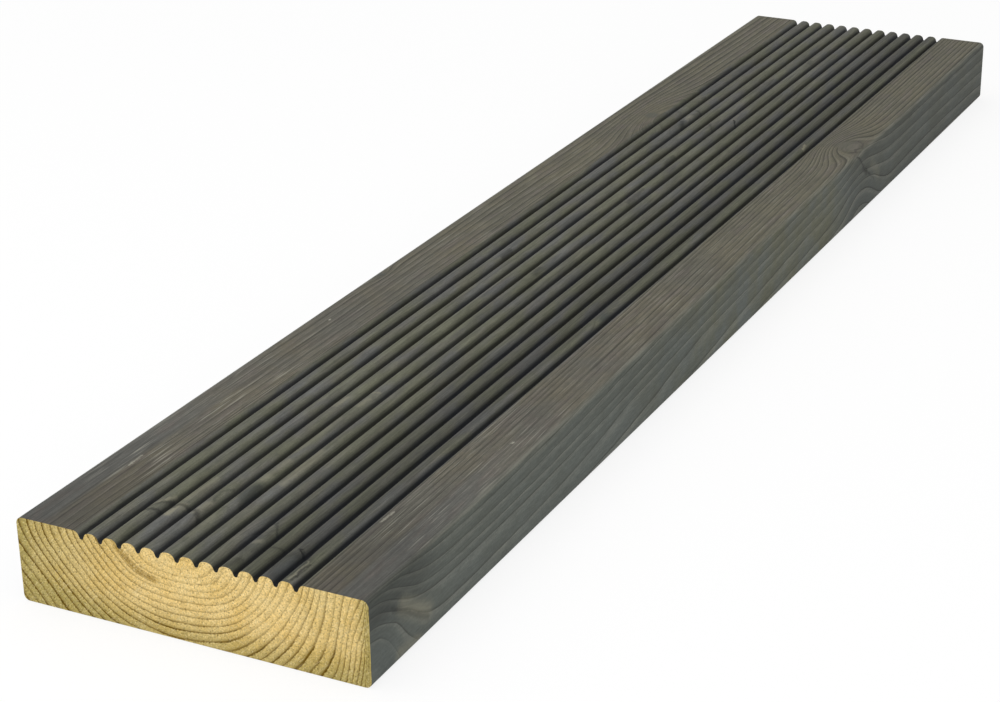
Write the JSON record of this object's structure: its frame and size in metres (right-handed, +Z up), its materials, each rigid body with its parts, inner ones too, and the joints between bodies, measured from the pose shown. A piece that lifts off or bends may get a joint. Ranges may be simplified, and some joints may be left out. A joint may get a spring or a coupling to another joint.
{
  "type": "grooved decking board",
  "caption": "Softwood decking board with eased arrises and lengthwise grooves between two flat margins, stained grey with bare sawn ends.",
  "frame": {"origin": "centre of the flat underside, where the board beds on its joists", "axes": "+X along the grain, from the sawn end shown nearest in the picture to the far end; +Y across the board; +Z up, out of the grooved walking face"},
  "size_m": [0.732, 0.145, 0.034],
  "materials": {
    "stained_pine": "planed pine, dark grey translucent stain on the long faces, bare yellow-green treated wood on the sawn ends"
  },
  "bodies": {
    "root": {"decking_board": "stained_pine"}
  },
  "joints": []
}
